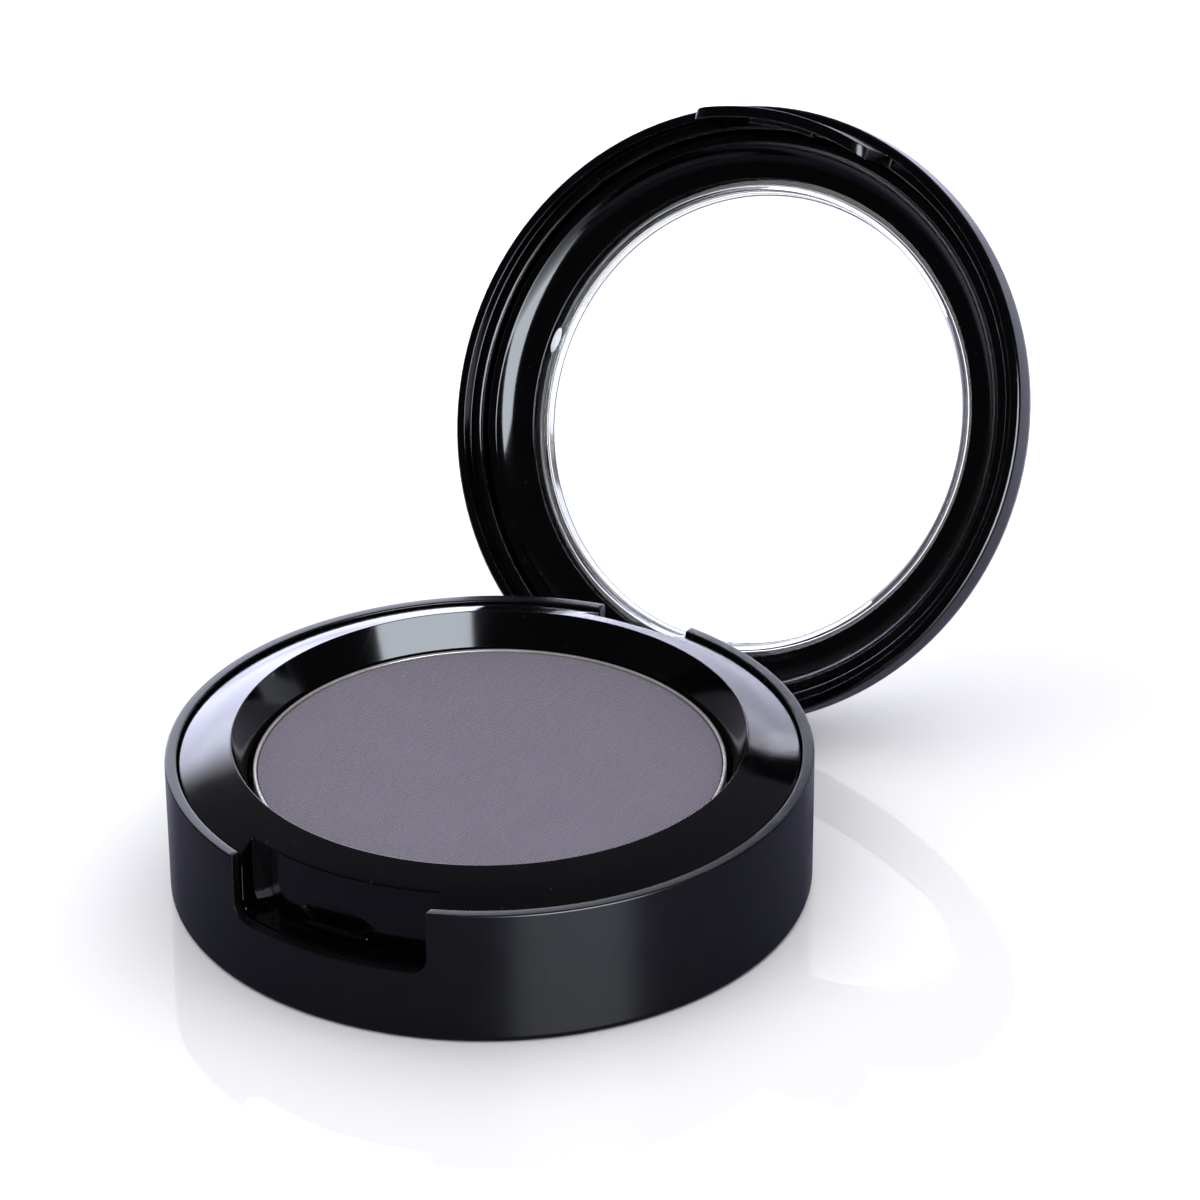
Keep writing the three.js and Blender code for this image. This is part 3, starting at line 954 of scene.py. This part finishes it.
# the lug's shelf runs out past the lid's wall and is cut off there
lid = {
    "radius": 30.0, "rim": 13.5, "bandInner": 27.85, "bandHeight": 14.85,
    "stepRadius": 29.0, "glossTop": 18.6,
    "shoulder": [
        (30, 15.9), (29.8, 16.8), (29.2, 17.8), (28.3, 18.5), (27, 19.05), (25, 19.4), (22.7, 19.6),
    ],
    "hollow": [(22.7, 18.7), (24.9, 18.62), (26.3, 18.35), (27.2, 17.95), (27.85, 17.35)],
    "tabHalf": 9.3, "tabTip": 8.0, "tabCorner": 1.3, "tabInner": 28.05, "tabOuter": 29.1,
    "tabRoot": 15.15, "nibHalf": 3.4, "nibInner": 27.6, "nibRoot": 28.35, "nibLow": 8.6, "nibHigh": 9.6,
    "lugHalf": 4.4, "lugRadius": 1.3, "lugBore": 0.8, "lugOuter": 29.85, "lugTop": 15.05,
    "lugShelf": (31.0, 7.4), "edgeRound": 0.1, "rimRound": 0.4, "windowRound": 0.15,
}


def makeLidShell(lid):
    outline = [
        (lid["bandInner"], lid["bandHeight"]),
        (lid["stepRadius"], lid["bandHeight"]),
        (lid["stepRadius"], lid["rim"]),
        (lid["radius"], lid["rim"]),
        *smoothRun(lid["shoulder"], 4),
        *smoothRun(lid["hollow"], 3),
    ]
    shell = turnOnLathe("lidShell", outline)
    plate = makeTongue(
        "tabPlate", lid["tabHalf"], lid["tabTip"], lid["tabRoot"], lid["tabCorner"], -pastRim, -pastWall
    )
    below, above = lid["tabTip"] - 1, lid["tabRoot"] + 1
    tab = turnOnLathe("tab", [
        (lid["tabInner"], below), (lid["tabOuter"], below),
        (lid["tabOuter"], above), (lid["tabInner"], above),
    ], 192)
    combine(tab, plate, "INTERSECT")
    nib = turnOnLathe("nib", [
        (lid["nibInner"], lid["nibLow"]), (lid["nibRoot"], lid["nibLow"]),
        (lid["nibRoot"], lid["nibHigh"]), (lid["nibInner"], lid["nibHigh"]),
    ], 192)
    half = lid["nibHalf"]
    front = makeBlock("nibTool", (-half, -pastRim, lid["nibLow"] - 1), (half, 0, lid["rim"]))
    combine(nib, front, "INTERSECT")
    combine(tab, nib, "UNION")
    combine(shell, tab, "UNION")
    y, z = hingeLine[1] / mm, hingeLine[2] / mm
    lug = cutPlate("lug", [
        (y - lid["lugRadius"], lid["lugTop"]),
        *arcRun((y, z), lid["lugRadius"], 180, 300, 12),
        lid["lugShelf"],
        (lid["lugShelf"][0], lid["lugTop"]),
    ], -lid["lugHalf"], lid["lugHalf"])
    above = lid["lugTop"] + aboveRim
    drum = turnOnLathe("drumTool", [(0, 0), (lid["lugOuter"], 0), (lid["lugOuter"], above), (0, above)])
    combine(lug, drum, "INTERSECT")
    combine(lug, makeBar("boreTool", lid["lugBore"], 2 * pastRim, (0, y, z), 48))
    combine(shell, lug, "UNION")
    special = [
        (onRing(lid["radius"], lid["rim"]), lid["rimRound"]),
        (onRing(lid["bandInner"], lid["bandHeight"]), lid["rimRound"]),
        (onRing(*lid["shoulder"][-1]), lid["windowRound"]),
    ]
    softenEdges(shell, 30, lid["edgeRound"], special)
    pick(shell)
    shell.data.materials.append(satinBlack)
    shell.data.materials.append(glossBlack)
    for face in shell.data.polygons:     # the inside and the rim's land are glossier
        middle, facing = face.center / mm, face.normal
        inward = facing.x * middle.x + facing.y * middle.y < 0
        onLand = radiusOf(middle) > lid["bandInner"] - 0.1 and middle.z > lid["rim"] - 0.1
        if (onLand and facing.z < -0.3) or (inward and middle.z < lid["glossTop"]):
            face.material_index = 1
    layBack(shell)
    fit(shell, "lid", "lid_shell", "satin_black_plastic")


makeLidShell(lid)
print("lid shell is moulded")


liner = {
    "outer": 27.6, "rim": 15.9, "ceiling": 17.5, "cove": 3.2, "coveCentre": 24.0,
    "inner": 23.4, "seat": 17.95, "seatRadius": 24.7, "edgeRound": 0.1,
    "back": [(27.6, 17), (27, 17.6), (26.1, 17.98), (24.7, 18.25)],
}


def makeLidLiner(liner):
    centre = (liner["coveCentre"], liner["ceiling"] - liner["cove"])
    ring = turnOnLathe("lidLiner", [
        (liner["inner"], liner["ceiling"]),
        *arcRun(centre, liner["cove"], 90, 30, 12),
        (liner["outer"], liner["rim"]),
        *smoothRun(liner["back"], 3),
        (liner["seatRadius"], liner["seat"]),
        (liner["inner"], liner["seat"]),
    ])
    softenEdges(ring, 30, liner["edgeRound"])
    layBack(ring)
    fit(ring, "lid", "lid_liner", "gloss_black_plastic", glossBlack)


window = {
    "underside": 18.3, "ridgeInner": 22.3, "ridgeOuter": 22.7, "ridgeLow": 17.8,
    "flange": 24.4, "flangeLow": 18.05, "flangeTop": 18.4, "raised": 22.05, "top": 19.8,
    "draft": 0.1, "edgeRound": 0.08, "topRound": 0.12,
}


def makeLidWindow(window):
    draft = window["draft"]
    pane = turnOnLathe("lidWindow", [
        (0, window["underside"]),
        (window["ridgeInner"] - draft, window["underside"]),
        (window["ridgeInner"], window["ridgeLow"]),
        (window["ridgeOuter"], window["ridgeLow"]),
        (window["ridgeOuter"] + draft, window["flangeLow"]),
        (window["flange"], window["flangeLow"]),
        (window["flange"], window["flangeTop"]),
        (window["raised"], window["flangeTop"]),
        (window["raised"] - draft, window["top"]),
        (0, window["top"]),
    ], 160)
    topEdge = onRing(window["raised"] - draft, window["top"])
    softenEdges(pane, 30, window["edgeRound"], [(topEdge, window["topRound"])])
    layBack(pane)
    fit(pane, "lid", "lid_window", "clear_plastic", clearPlastic)


glueDab = {"around": 7, "radius": 22.8, "height": 17.85, "size": (0.38, 1.3, 0.3), "rough": 0.13}


def makeGlueDab(dab):
    # a dab of glue that squeezed out beside the window's ridge
    turn = math.radians(180 + dab["around"])
    deselectAll()
    bpy.ops.mesh.primitive_ico_sphere_add(subdivisions=5, radius=mm, location=(0, 0, 0))
    blob = bpy.context.object
    blob.name = blob.data.name = "windowGlue"
    bpy.ops.object.mode_set(mode="EDIT")
    bpy.ops.mesh.select_all(action="SELECT")
    bpy.ops.transform.resize(value=dab["size"])
    bpy.ops.transform.vertex_random(offset=dab["rough"] * mm, uniform=0.6, seed=4)
    bpy.ops.mesh.vertices_smooth(factor=0.5, repeat=6)
    bpy.ops.transform.translate(value=(dab["radius"] * mm, 0, dab["height"] * mm))
    bpy.ops.transform.rotate(value=-turn, orient_axis="Z", center_override=(0, 0, 0))
    bpy.ops.object.mode_set(mode="OBJECT")
    smoothOff(blob, 60)
    layBack(blob)
    blob.data.materials.append(setGlue)
    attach(blob, "lid")


makeLidLiner(liner)
makeLidWindow(window)
makeGlueDab(glueDab)
print("liner and window are in the lid")
